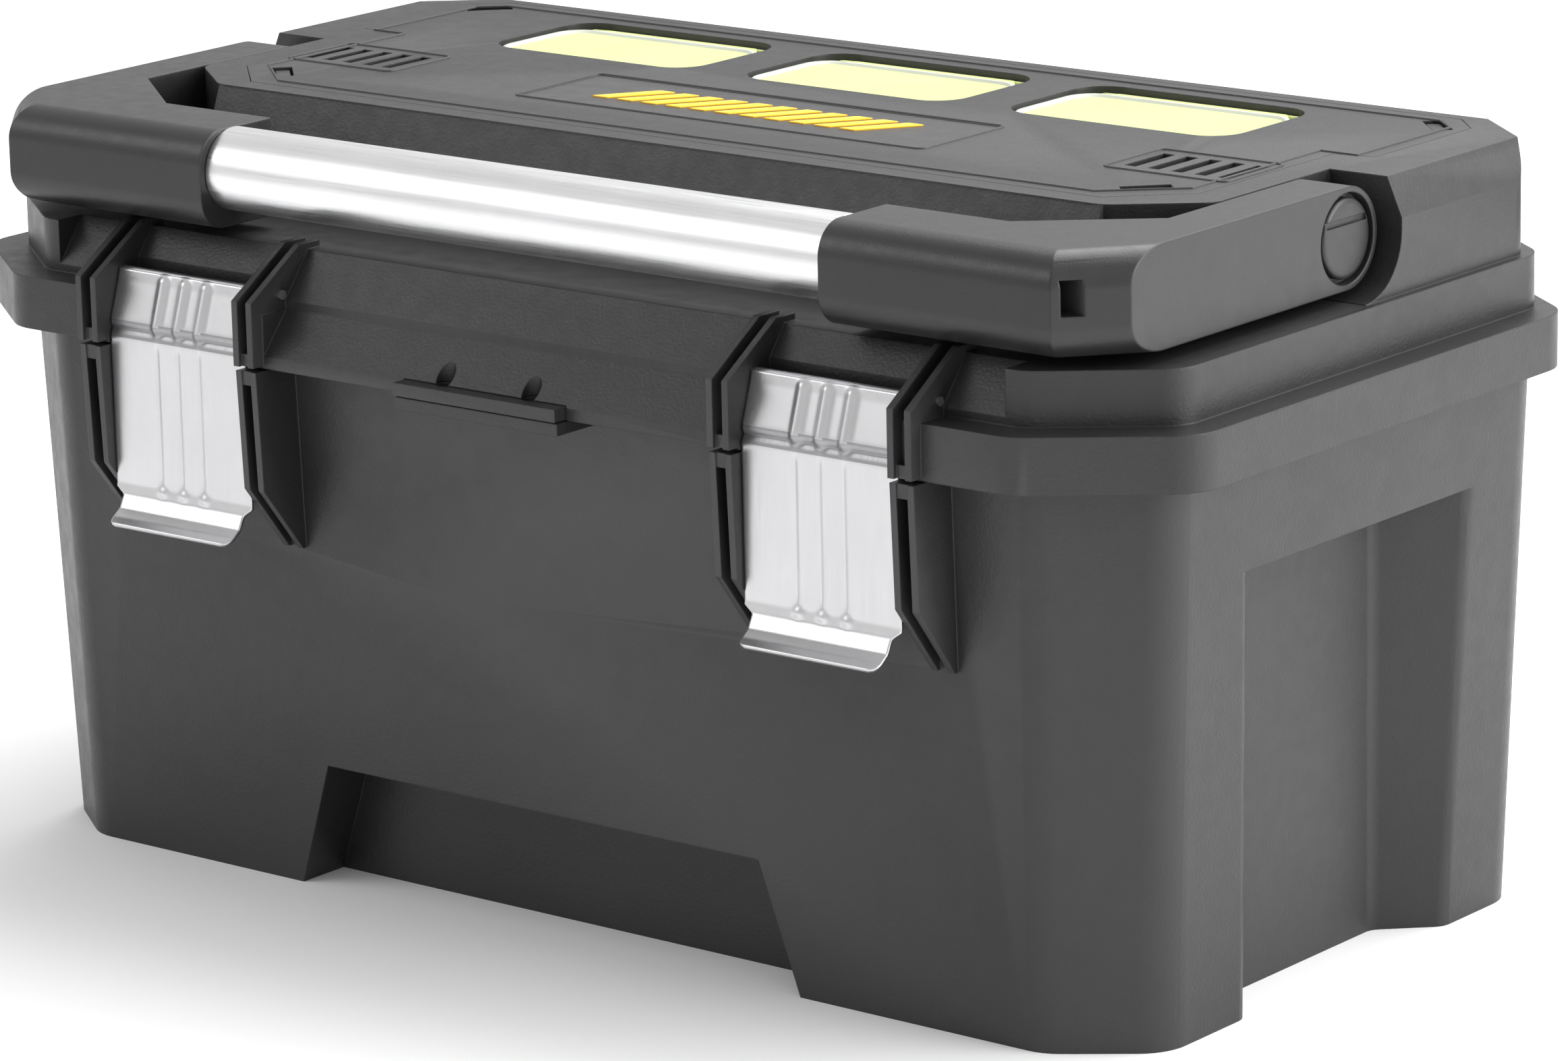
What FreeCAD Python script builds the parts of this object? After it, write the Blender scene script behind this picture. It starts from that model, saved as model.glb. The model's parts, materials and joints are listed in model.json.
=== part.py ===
import FreeCAD, Part
import math
import os

import Sketcher
from FreeCAD import Rotation, Vector

# A 20-inch moulded toolbox with a lift-out tray.
# X runs along the length, the latches face -Y, +Z is up, and the origin lies on the floor
# under the middle of the box. Every size is in millimetres.

DIMENSIONS = {
    # base tub
    "base_half": 233.5, "base_front": -112.1, "base_back": 126.7, "base_top": 189.7,
    "base_corner_x": 31.3, "base_corner_y": 22.5, "draft": 2.1, "wall": 4.0, "floor": 4.0,
    "end_recess_depth": 17.6, "end_recess_top": 147.0, "end_recess_back": 49.1,
    "end_recess_front": -32.0, "front_recess_top": 43.5, "front_recess_y": -92.1,
    "front_recess_foot": 107.0, "front_recess_head": 92.0, "rail_top": 171.3,
    "base_round": 18.0, "recess_round": 7.0,
    # lid
    "rim_half": 254.0, "rim_front": -133.6, "rim_back": 137.0, "rim_corner_x": 46.0,
    "rim_corner_y": 34.0, "seam": 183.0, "rim_top": 201.0, "skirt_top": 193.0,
    "skirt_half": 241.1, "skirt_front": -119.7, "skirt_back": 134.3,
    "tier_half": 243.3, "tier_front": -121.9, "tier_back": 134.1, "tier_top": 218.7,
    "crown_half": 213.0, "crown_front": -54.5, "shoulder_half": 240.3, "shoulder_front": 29.2,
    "crown_back": 130.2, "lid_top": 255.7, "bevel_width": 5.6, "bevel_drop": 12.8,
    "rim_round": 18.0, "tier_round": 14.0, "crown_round": 10.0,
    "tier_corner_x": 39.0, "tier_corner_y": 29.3, "crown_nose": 185.6, "crown_cheek": -33.0,
    "crown_side_back": 100.0, "crown_heel": 204.0, "brow_reach": 14.0, "brow_top": 224.0,
    "arm_socket": 20.2, "slope_foot": 203.7, "slope_head": -110.2,
    # the lid's inside
    "skirt_corner_x": 36.4, "skirt_corner_y": 26.2, "hollow_half": 235.7, "hollow_front": -114.3,
    "hollow_back": 128.9, "hollow_corner_x": 36.0, "hollow_corner_y": 26.0, "hollow_step": 206.0,
    "hollow_mid_front": -104.0, "hollow_mid_top": 215.0, "hollow_foot": 205.0,
    "head_half": 208.5, "head_front": -50.0, "head_nose": 184.5, "head_cheek": -31.2,
    "head_back": 40.0, "head_top": 251.7, "rear_half": 234.5, "rear_front": 34.0,
    "rear_side_back": 98.0, "rear_heel": 203.0, "rear_back": 125.0, "rear_top": 247.2,
    # top panel, windows and bins
    "panel_half": 201.0, "panel_wide": 215.0, "panel_front": -45.7, "panel_back": 119.4,
    "panel_seat": 252.7, "window_pitch": 111.8, "window_half": 45.4, "window_front": 51.0,
    "window_back": 105.9, "window_corner": 12.0, "bin_bottom": 210.0, "bin_wall": 1.6,
    "cover_under": 251.7, "cover_top": 253.6, "cover_axis_y": 104.3,
    "label_half": 85.0, "label_front": -14.4, "label_back": 28.1,
    "vent_first": 157.5, "vent_pitch": 9.0, "vent_width": 4.6, "vent_front": -1.0,
    "vent_back": 21.0,
    # handle
    "pivot_y": 9.0, "pivot_z": 239.15, "arm_radius": 16.55, "arm_inner": 214.0,
    "arm_outer": 233.5, "arm_bottom": 222.6, "grip_end": 129.0, "grip_front": -124.5,
    "grip_back": -89.7, "arm_corner_x": 217.0, "arm_corner_y": -106.0, "arm_inner_x": 176.4,
    "arm_inner_y": -59.6, "arm_round": 11.0, "slot_front": -122.0, "slot_back": -116.5,
    "slot_bottom": 237.0, "slot_top": 248.0, "slot_depth": 22.0, "screw_x": 141.0,
    "screw_head": 3.1, "screw_shank": 1.55, "pin_end": 205.0, "tube_y": -108.2,
    "tube_z": 241.8, "tube_radius": 13.9, "tube_wall": 1.3, "cap_radius": 14.45,
    "pivot_radius": 8.0,
    # latches, keepers and hinge
    "latch_centre": 134.8, "latch_half": 30.5, "latch_pin_y": -124.0, "latch_pin_z": 206.0,
    "latch_barrel": 3.1, "latch_pin": 1.6, "sheet": 1.5, "rib": 2.4, "rib_front": -138.5,
    "rib_top": 221.0, "hinge_y": 138.0, "hinge_x": 150.0, "knuckle": 4.3, "hinge_pin": 2.0,
    "keeper_half": 22.0, "keeper_front": -130.7, "keeper_back": -115.5, "keeper_bottom": 146.0,
    "keeper_height": 6.0,
    # padlock eyes
    "eye_half": 34.0, "eye_thickness": 4.2, "eye_hole_x": 18.0, "eye_hole_y": -131.0,
    "eye_hole": 3.2, "eye_lid_front": -139.0, "eye_lid_back": -124.8, "eye_lid_bottom": 183.2,
    "eye_base_front": -138.2, "eye_base_back": -117.6, "eye_base_bottom": 178.5,
    # tray
    "tray_half": 207.0, "tray_front": -106.0, "tray_back": 120.0, "tray_bottom": 112.0,
    "tray_top": 174.0, "tray_wall": 2.2, "flange_half": 233.5, "flange_reach": 5.0,
    "flange_under": 171.5, "tray_corner": 14.0, "cell_corner": 13.4, "divider_front": 5.0,
    "divider_back": 9.0, "tray_grip_half": 70.0, "tray_grip_top": 192.0, "tray_grip_depth": 14.0,
    # running clearance
    "gap": 0.3,
}

PLANES = {"top": "XY_Plane", "front": "XZ_Plane", "side": "YZ_Plane"}


class Dim:
    """A number together with the spreadsheet expression that gives it."""

    def __init__(self, value, text=None):
        self.value = float(value)
        self.text = text or f"{float(value):.6g}"

    def _join(self, other, sign, value):
        return Dim(value, f"({self.text} {sign} {other.text})")

    def __add__(self, other):
        other = dim(other)
        return self._join(other, "+", self.value + other.value)

    def __sub__(self, other):
        other = dim(other)
        return self._join(other, "-", self.value - other.value)

    def __mul__(self, other):
        other = dim(other)
        return self._join(other, "*", self.value * other.value)

    def __neg__(self):
        return self * -1

    def __radd__(self, other):
        return dim(other) + self

    def __rsub__(self, other):
        return dim(other) - self

    def __rmul__(self, other):
        return dim(other) * self


def dim(value):
    return value if isinstance(value, Dim) else Dim(value)


doc = FreeCAD.newDocument("toolbox")
sheet = doc.addObject("Spreadsheet::Sheet", "Sheet")
sheet_rows = {}
for row, (alias, number) in enumerate(DIMENSIONS.items(), start=1):
    sheet.set(f"A{row}", alias)
    sheet.set(f"B{row}", str(number))
    sheet.setAlias(f"B{row}", alias)
    sheet_rows[alias] = Dim(number, f"Sheet.{alias}")
doc.recompute()
pieces = []


def size(alias):
    return sheet_rows[alias]


def bind(thing, prop, value):
    value = dim(value)
    thing.setExpression(prop, value.text)


def new_body(label):
    body = doc.addObject("PartDesign::Body", label)
    body.Label = label
    pieces.append(body)
    return body


def new_sketch(body, side, offset):
    role = PLANES[side]
    plane = next(f for f in body.Origin.OriginFeatures if f.Role == role)
    sketch = body.newObject("Sketcher::SketchObject", f"{body.Name}_sketch")
    sketch.AttachmentSupport = [(plane, "")]
    sketch.MapMode = "FlatFace"
    bind(sketch, ".AttachmentOffset.Base.z", offset)
    return sketch


def fix_point(sketch, geometry, end, point):
    for axis, value in zip(("DistanceX", "DistanceY"), point):
        index = sketch.addConstraint(Sketcher.Constraint(axis, -1, 1, geometry, end, dim(value).value))
        if "Sheet" in dim(value).text:
            sketch.setExpression(f"Constraints[{index}]", dim(value).text)


def as_vector(point):
    return Vector(dim(point[0]).value, dim(point[1]).value, 0)


def draw_polygon(sketch, points):
    count = len(points)
    for i in range(count):
        segment = Part.LineSegment(as_vector(points[i]), as_vector(points[(i + 1) % count]))
        sketch.addGeometry(segment, False)
    for i in range(count):
        sketch.addConstraint(Sketcher.Constraint("Coincident", i, 2, (i + 1) % count, 1))
        fix_point(sketch, i, 1, points[i])


def draw_circle(sketch, centre, radius):
    circle = Part.Circle(as_vector(centre), Vector(0, 0, 1), dim(radius).value)
    sketch.addGeometry(circle, False)
    fix_point(sketch, 0, 3, centre)
    index = sketch.addConstraint(Sketcher.Constraint("Radius", 0, dim(radius).value))
    sketch.setExpression(f"Constraints[{index}]", dim(radius).text)


def extrude(body, sketch, length, cut=False, taper=None, both=False):
    """Pads or pockets a sketch along its plane's normal."""
    kind = "PartDesign::Pocket" if cut else "PartDesign::Pad"
    feature = body.newObject(kind, f"{body.Name}_{'pocket' if cut else 'pad'}")
    feature.Profile = sketch
    bind(feature, "Length", length)
    feature.Reversed = cut
    feature.Midplane = both
    if taper is not None:
        bind(feature, "TaperAngle", taper)
    sketch.Visibility = False
    return feature


def prism(body, side, points, start, length, cut=False, taper=None, both=False):
    sketch = new_sketch(body, side, start)
    draw_polygon(sketch, points)
    return extrude(body, sketch, length, cut, taper, both)


def drum(body, centre, radius, start, length, cut=False, side="side"):
    sketch = new_sketch(body, side, start)
    draw_circle(sketch, centre, radius)
    return extrude(body, sketch, length, cut)


def round_corners(body, feature, radius, chosen):
    """Rounds the feature's edges that the test accepts."""
    doc.recompute()
    names = [f"Edge{i}" for i, edge in enumerate(feature.Shape.Edges, start=1) if chosen(edge)]
    fillet = body.newObject("PartDesign::Fillet", f"{body.Name}_fillet")
    fillet.Base = (feature, names)
    bind(fillet, "Radius", radius)
    return fillet


def upright(edge):
    box = edge.BoundBox
    return box.ZLength > 0.6 * max(box.DiagonalLength, 0.01)


def upright_within(bottom, top, reach=0.0):
    """A test for upright edges between two heights, at least so far from X = 0."""
    def chosen(edge):
        box = edge.BoundBox
        inside = box.ZMin > bottom - 0.5 and box.ZMax < top + 0.5
        return upright(edge) and inside and abs(box.Center.x) > reach
    return chosen


def box_outline(x0, x1, y0, y1):
    return [(x0, y0), (x1, y0), (x1, y1), (x0, y1)]


def cornered(half, front, back, corner_x, corner_y):
    """A rectangle about X = 0 with its four corners cut off."""
    return [
        (corner_x - half, front), (half - corner_x, front), (half, front + corner_y),
        (half, back - corner_y), (half - corner_x, back), (corner_x - half, back),
        (-half, back - corner_y), (-half, front + corner_y),
    ]


def mirrored_outline(right):
    """A closed outline from its right half, listed from front to back."""
    return right + [(-x, y) for x, y in reversed(right)]


def rod(label, radius, x0, length, y, z):
    """A round bar along X."""
    bar = doc.addObject("Part::Cylinder", label)
    bar.Label = label
    bind(bar, "Radius", radius)
    bind(bar, "Height", length)
    bar.Placement.Rotation = Rotation(Vector(0, 1, 0), 90)
    bind(bar, ".Placement.Base.x", x0)
    bind(bar, ".Placement.Base.y", y)
    bind(bar, ".Placement.Base.z", z)
    return bar


def rib_positions():
    """Left faces of the eight thin ribs that flank the two latches."""
    reach = size("latch_half") + size("gap")
    first = size("latch_centre") + reach
    second = first + 6.7
    inner = size("latch_centre") - reach - size("rib")
    faces = [first, second, inner, inner - 6.3]
    return faces + [-face - size("rib") for face in faces]


def web_positions():
    """Left faces of the small bars that tie each pair of ribs together."""
    reach = size("latch_half") + size("gap")
    outer = size("latch_centre") + reach + size("rib")
    inner = size("latch_centre") - reach - size("rib") - 3.9
    return [outer, inner, -outer - 4.3, -inner - 3.9]


def make_base():
    body = new_body("base_shell")
    outline = cornered(size("base_half"), size("base_front"), size("base_back"),
                       size("base_corner_x"), size("base_corner_y"))
    outer = prism(body, "top", outline, 0, size("base_top"), taper=size("draft"))
    round_corners(body, outer, size("base_round"), upright)
    wall = size("wall")
    hollow = cornered(size("base_half") - wall, size("base_front") + wall, size("base_back") - wall,
                      size("base_corner_x") - 1.0, size("base_corner_y") - 1.0)
    prism(body, "top", hollow, size("floor"), size("base_top"), cut=True, taper=size("draft"))
    make_recesses(body)
    for face in rib_positions():
        profile = [(-115.2, 182.2), (size("rib_front") + 0.9, 182.2), (size("rib_front") + 2.7, 142),
                   (-118, 119), (-115.2, 119)]
        prism(body, "side", profile, face, size("rib"))
    for face in web_positions():
        prism(body, "side", box_outline(-137, -115.2, 177.5, 182.2), face, 4.3)
    for side in (-1, 1):
        centre = size("latch_centre") * side
        half = size("keeper_half") + 0.1
        seat = box_outline(centre - half, centre + half, -125, size("keeper_back"))
        prism(body, "top", seat, size("keeper_bottom") - 0.1, size("keeper_height") + 0.2, cut=True)
    half = size("eye_half") + 0.1
    seat = box_outline(-half, half, -125, size("eye_base_back"))
    prism(body, "top", seat, size("eye_base_bottom") - 0.1, size("eye_thickness") + 0.2, cut=True)
    make_base_knuckles(body)


def make_recesses(body):
    wall = size("wall")
    depth_x = size("base_half") - size("end_recess_depth")
    for side in (-1, 1):
        swell = [(side * (depth_x - wall), size("floor")), (side * (size("base_half") - 0.1), size("floor")),
                 (side * (size("base_half") + 5.3), size("end_recess_top") + wall),
                 (side * (depth_x - wall), size("end_recess_top") + wall)]
        prism(body, "front", swell, 0.0 - size("end_recess_back") - 21, 123)
    for side in (-1, 1):
        notch = [(side * depth_x, size("end_recess_front")), (side * depth_x, size("end_recess_back")),
                 (side * 246.0, size("end_recess_back") + 28.4),
                 (side * 246.0, size("end_recess_front") - 28.4)]
        hollow = prism(body, "top", notch, 0, size("end_recess_top"), cut=True)
        round_corners(body, hollow, size("recess_round"), recess_edge(side))
    foot = size("front_recess_foot")
    head = size("front_recess_head")
    top = size("front_recess_top")
    bulge = [(-foot - 5, size("floor")), (foot + 5, size("floor")), (head + 5, top + wall),
             (-head - 5, top + wall)]
    prism(body, "front", bulge, 0.0 - size("front_recess_y") - wall, 23.0)
    opening = [(-foot, -1), (foot, -1), (head, top), (-head, top)]
    prism(body, "front", opening, 0.0 - size("front_recess_y"), 34.0, cut=True)
    for side in (-1, 1):
        rail = [(side * 229.5, size("rail_top") - 3), (side * 236.6, size("rail_top") - 3),
                (side * 236.6, size("rail_top")), (side * 229.5, size("rail_top"))]
        prism(body, "front", rail, -80.0, 140.0)


def recess_edge(side):
    """A test for the upright edges of one end recess, inside its floor and at its mouth."""
    low = size("base_half").value - size("end_recess_depth").value - 0.5
    def chosen(edge):
        box = edge.BoundBox
        beside = box.Center.x * side > low and abs(box.Center.y - 8.5) < 75
        return upright(edge) and beside and box.ZMin < 1 and 140 < box.ZMax < 148
    return chosen


def make_base_knuckles(body):
    for side in (-1, 1):
        start = size("hinge_x") * side - 10
        web = [(131.2, 171), (134, 171), (size("hinge_y") + 3.6, 180.6), (size("hinge_y"), size("seam")),
               (131.2, size("seam"))]
        prism(body, "side", web, start, 20)
        drum(body, (size("hinge_y"), size("seam")), size("knuckle"), start, 20)
        drum(body, (size("hinge_y"), size("seam")), size("hinge_pin") + 0.05, start - 1, 22, cut=True)


def make_lid():
    body = new_body("lid_shell")
    rim = cornered(size("rim_half"), size("rim_front"), size("rim_back"), size("rim_corner_x"),
                   size("rim_corner_y"))
    band = prism(body, "top", rim, size("seam"), size("rim_top") - size("seam"))
    round_corners(body, band, size("rim_round"), upright)
    tier = cornered(size("tier_half"), size("tier_front"), size("tier_back"), size("tier_corner_x"),
                    size("tier_corner_y"))
    step = prism(body, "top", tier, size("rim_top") - 1, size("tier_top") - size("rim_top") + 1)
    on_tier = upright_within(size("rim_top").value, size("tier_top").value)
    round_corners(body, step, size("tier_round"), on_tier)
    crown = mirrored_outline([
        (size("crown_nose"), size("crown_front")), (size("crown_half"), size("crown_cheek")),
        (size("crown_half"), size("pivot_y")), (size("shoulder_half"), size("pivot_y")),
        (size("shoulder_half"), size("crown_side_back")), (size("crown_heel"), size("crown_back"))])
    head = prism(body, "top", crown, size("tier_top") - 1, size("lid_top") - size("tier_top") + 1)
    round_corners(body, head, size("crown_round"), crown_corner)
    face = size("crown_front")
    reach = size("brow_reach")
    brow_foot = size("tier_top") - 1
    brow_head = size("lid_top") - 0.4
    brow = [(face + 1, brow_foot), (face - reach, brow_foot), (face - reach + 2, size("brow_top")),
            (face + 0.2, brow_head), (face + 1, brow_head)]
    prism(body, "side", brow, 0, size("crown_nose") * 2 - 0.2, both=True)
    for x0, x1 in box_pairs(size("crown_half"), 250):
        drum(body, (size("pivot_y"), size("pivot_z")), size("arm_socket"), x0, x1 - x0, cut=True)
        slot = box_outline(-12, size("shoulder_front"), size("pivot_z"), 257)
        prism(body, "side", slot, x0, x1 - x0, cut=True)
    make_lid_slopes(body)
    make_lid_hollows(body)
    make_lid_front(body)
    make_lid_top(body)
    make_lid_knuckles(body)
    for x0, x1 in box_pairs(204, size("crown_half") + 1):
        drum(body, (size("pivot_y"), size("pivot_z")), size("pivot_radius") + 0.02, x0, x1 - x0, cut=True)


def crown_corner(edge):
    """The crown's upright edges, other than the step beside each handle pivot."""
    high = upright_within(size("tier_top").value, size("lid_top").value)
    return high(edge) and abs(edge.BoundBox.Center.y - size("pivot_y").value) > 1


def box_pairs(near, far):
    """The X spans of one feature and its mirror image."""
    return [(dim(near), dim(far)), (-dim(far), -dim(near))]


def make_lid_slopes(body):
    top = size("lid_top")
    for side in (-1, 1):
        wedge = [(side * (size("shoulder_half") - size("bevel_width")), top + 0.1),
                 (side * (size("shoulder_half") + 0.1), top - size("bevel_drop")),
                 (side * 243.0, top + 0.1)]
        prism(body, "front", wedge, -132.0, 104.0, cut=True)
    back = [(size("crown_back") - size("bevel_width"), top + 0.1),
            (size("crown_back") + 0.1, top - size("bevel_drop")), (133.0, top + 0.1)]
    prism(body, "side", back, 0, 500, cut=True, both=True)
    slope = [(size("tier_front") - 0.1, size("slope_foot")), (size("slope_head"), size("tier_top") + 0.1),
             (size("tier_front") - 0.1, size("tier_top") + 0.1)]
    prism(body, "side", slope, 0, 396, cut=True, both=True)


def make_lid_hollows(body):
    foot = size("hollow_foot")
    skirt = cornered(size("skirt_half"), size("skirt_front"), size("skirt_back"), size("skirt_corner_x"),
                     size("skirt_corner_y"))
    prism(body, "top", skirt, size("seam") - 1, size("skirt_top") - size("seam") + 1, cut=True)
    for front, top in (("hollow_front", "hollow_step"), ("hollow_mid_front", "hollow_mid_top")):
        hollow = cornered(size("hollow_half"), size(front), size("hollow_back"), size("hollow_corner_x"),
                          size("hollow_corner_y"))
        prism(body, "top", hollow, size("seam"), size(top) - size("seam"), cut=True)
    head = mirrored_outline([
        (size("head_nose"), size("head_front")), (size("head_half"), size("head_cheek")),
        (size("head_half"), size("head_back"))])
    prism(body, "top", head, foot, size("head_top") - foot, cut=True)
    rear = mirrored_outline([
        (size("rear_half"), size("rear_front")), (size("rear_half"), size("rear_side_back")),
        (size("rear_heel"), size("rear_back"))])
    prism(body, "top", rear, foot, size("rear_top") - foot, cut=True)


def make_lid_front(body):
    for side in (-1, 1):
        centre = size("latch_centre") * side
        reach = size("latch_half") + size("gap")
        bay = box_outline(centre - reach, centre + reach, -140, -117.5)
        prism(body, "top", bay, size("seam") - 1, 213 - size("seam"), cut=True)
    for face in rib_positions():
        profile = [(size("skirt_front") - 0.1, 183.8), (size("rib_front"), 183.8),
                   (size("rib_front"), 205.5), (-114, size("rib_top")), (-104.5, size("rib_top")),
                   (-104.5, 216), (-116.0, 206), (-116.0, size("skirt_top") + 0.5),
                   (size("skirt_front") - 0.1, size("skirt_top") + 0.5)]
        prism(body, "side", profile, face, size("rib"))
    for face in web_positions():
        prism(body, "side", box_outline(-137, -122, 183.8, 188.0), face, 4.3)
    lip = [(size("rim_front") - 0.1, 187.0), (size("tier_front"), size("rim_top") + 0.1),
           (size("rim_front") - 0.1, size("rim_top") + 0.1)]
    prism(body, "side", lip, 0, 190, cut=True, both=True)
    half = size("eye_half") + 0.2
    pocket = box_outline(-half, half, -140, size("eye_lid_back"))
    pocket_top = size("eye_lid_bottom") + size("eye_thickness") + 0.2
    prism(body, "top", pocket, size("seam") - 1, pocket_top - size("seam") + 1, cut=True)
    for side in (-1, 1):
        hole = (side * size("eye_hole_x"), size("eye_hole_y"))
        drum(body, hole, size("eye_hole") + 0.1, size("seam") - 1, 15, cut=True, side="top")
    for side in (-1, 1):
        drum(body, (size("latch_pin_y"), size("latch_pin_z")), size("latch_pin") + 0.02,
             size("latch_centre") * side - 41, 82, cut=True)


def panel_outline(shrink):
    half = size("panel_half") - shrink
    wide = size("panel_wide") - shrink
    return mirrored_outline([
        (179 - dim(shrink), size("panel_front") + shrink), (half, -24), (half, 50.0 + dim(shrink)),
        (wide, 52.0 + dim(shrink)), (wide, 108), (204 - dim(shrink), size("panel_back") - shrink)])


def cut_windows(body, grow, start, length):
    """Window openings with round corners, as pockets whose upright edges are rounded."""
    for i in (-1, 0, 1):
        centre = size("window_pitch") * i
        x0 = centre - size("window_half") - grow
        x1 = centre + size("window_half") + grow
        y0 = size("window_front") - grow
        y1 = size("window_back") + grow
        sketch = new_sketch(body, "top", start)
        draw_rounded(sketch, x0, x1, y0, y1, size("window_corner") + grow)
        extrude(body, sketch, length, cut=True)


def draw_rounded(sketch, x0, x1, y0, y1, radius):
    """A rectangle with round corners: four sides and four arcs that meet end to end."""
    x0, x1, y0, y1, radius = (dim(v) for v in (x0, x1, y0, y1, radius))
    sides = [((x0 + radius, y0), (x1 - radius, y0)), ((x1, y0 + radius), (x1, y1 - radius)),
             ((x1 - radius, y1), (x0 + radius, y1)), ((x0, y1 - radius), (x0, y0 + radius))]
    corners = [(x1 - radius, y0 + radius), (x1 - radius, y1 - radius), (x0 + radius, y1 - radius),
               (x0 + radius, y0 + radius)]
    for start, end in sides:
        sketch.addGeometry(Part.LineSegment(as_vector(start), as_vector(end)), False)
    for i, centre in enumerate(corners):
        circle = Part.Circle(as_vector(centre), Vector(0, 0, 1), radius.value)
        first = (i - 1) * math.pi / 2
        sketch.addGeometry(Part.ArcOfCircle(circle, first, first + math.pi / 2), False)
    for i in range(4):
        fix_point(sketch, i, 1, sides[i][0])
        fix_point(sketch, i, 2, sides[i][1])
        sketch.addConstraint(Sketcher.Constraint("Coincident", i, 2, 4 + i, 1))
        sketch.addConstraint(Sketcher.Constraint("Coincident", 4 + i, 2, (i + 1) % 4, 1))
        index = sketch.addConstraint(Sketcher.Constraint("Radius", 4 + i, radius.value))
        sketch.setExpression(f"Constraints[{index}]", radius.text)


def make_lid_top(body):
    prism(body, "top", panel_outline(0), size("panel_seat"), 4, cut=True)
    cut_windows(body, 0, size("panel_seat") - 2.5, 4)
    cut_windows(body, -3.4, 240, 14)
    cut_cover_sockets(body)


def cut_cover_sockets(body):
    for i in (-1, 0, 1):
        start = size("window_pitch") * i - 42.2
        drum(body, (size("cover_axis_y"), cover_axis_z()), 0.9, start, 84.4, cut=True)


def cover_axis_z():
    return size("cover_under") + 0.95


def make_lid_knuckles(body):
    centre = (size("hinge_y"), size("seam"))
    for side in (-1, 1):
        middle = size("hinge_x") * side
        drum(body, centre, size("knuckle") + 0.4, middle - 10.4, 20.8, cut=True)
        for start in (middle - 25, middle + 10.4):
            drum(body, centre, size("knuckle"), start, 14.6)
        drum(body, centre, size("hinge_pin") + 0.02, middle - 26, 52, cut=True)


def make_panel():
    body = new_body("top_panel")
    prism(body, "top", panel_outline(0.25), size("panel_seat"), size("lid_top") - size("panel_seat"))
    cut_windows(body, 0, size("panel_seat") - 1, 6)
    cut_cover_sockets(body)
    prism(body, "top", box_outline(-size("label_half"), size("label_half"), size("label_front"),
                                   size("label_back")), size("lid_top") - 1, 2, cut=True)
    for side in (-1, 1):
        for i in range(5):
            centre = (size("vent_first") + size("vent_pitch") * i) * side
            half = size("vent_width") * 0.5
            vent = box_outline(centre - half, centre + half, size("vent_front"), size("vent_back"))
            prism(body, "top", vent, size("lid_top") - 2, 3, cut=True)
    for x, y in clip_places():
        prism(body, "top", tilted_box(x, y, 8.2, 3.4), size("panel_seat") - 1, 6, cut=True)
    plate = new_body("label_plate")
    prism(plate, "top", box_outline(0.2 - size("label_half"), size("label_half") - 0.2,
                                    size("label_front") + 0.2, size("label_back") - 0.2),
          size("lid_top") - 1, 0.9)
    clips = new_body("panel_clips")
    for x, y in clip_places():
        prism(clips, "top", tilted_box(x, y, 7.2, 2.6), size("panel_seat"), 2.2)


def clip_places():
    return [(182.0, -26.0), (-182.0, -26.0), (203.0, 106.5), (-203.0, 106.5)]


def tilted_box(x, y, half_length, half_width):
    """A rectangle turned 45 degrees, across the corner that it sits in."""
    lean = 1 if (x > 0) != (y > 0) else -1
    along = half_length * math.sqrt(0.5)
    across = half_width * math.sqrt(0.5)
    corners = ((-along, across), (-along, -across), (along, -across), (along, across))
    return [(x + a - b * lean, y + a * lean + b) for a, b in corners]


def make_bins_and_covers():
    for name, i in (("left", -1), ("centre", 0), ("right", 1)):
        centre = size("window_pitch") * i
        organiser = new_body(f"bin_{name}")
        edge = size("window_half") - 0.4
        seat = size("panel_seat") - 2.5
        flange = new_sketch(organiser, "top", seat)
        draw_rounded(flange, centre - edge, centre + edge, size("window_front") + 0.4,
                     size("window_back") - 0.4, size("window_corner") - 0.4)
        extrude(organiser, flange, 1.2)
        for shrink, bottom, top, cut in ((3.8, size("bin_bottom"), seat + 0.5, False),
                                         (5.4, size("bin_bottom") + size("bin_wall"), seat + 3, True)):
            sketch = new_sketch(organiser, "top", bottom)
            draw_rounded(sketch, centre - size("window_half") + shrink, centre + size("window_half") - shrink,
                         size("window_front") + shrink, size("window_back") - shrink,
                         size("window_corner") - shrink)
            extrude(organiser, sketch, top - bottom, cut)
        cover = new_body(f"cover_{name}")
        sketch = new_sketch(cover, "top", size("cover_under"))
        draw_rounded(sketch, centre - edge, centre + edge, size("window_front") + 0.6,
                     size("cover_axis_y"), 11.5)
        extrude(cover, sketch, size("cover_top") - size("cover_under"))
        for side in (-1, 1):
            outer_x = centre + side * 46.0
            clip = [(centre + side * 33.0, 105.4), (outer_x, 105.4), (outer_x, 89.6)]
            prism(cover, "top", clip, size("cover_under") - 1, 4, cut=True)
        axis = (size("cover_axis_y"), cover_axis_z())
        drum(cover, axis, 0.95, centre - 33, 66)
        drum(cover, axis, 0.8, centre - 41.8, 83.6)


def make_seal():
    body = new_body("rim_seal")
    prism(body, "top", cornered(240.0, -118.6, 133.2, 36.2, 26.0), 190, 3)
    prism(body, "top", cornered(236.4, -115.0, 129.6, 35.2, 25.2), 189, 5, cut=True)


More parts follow.
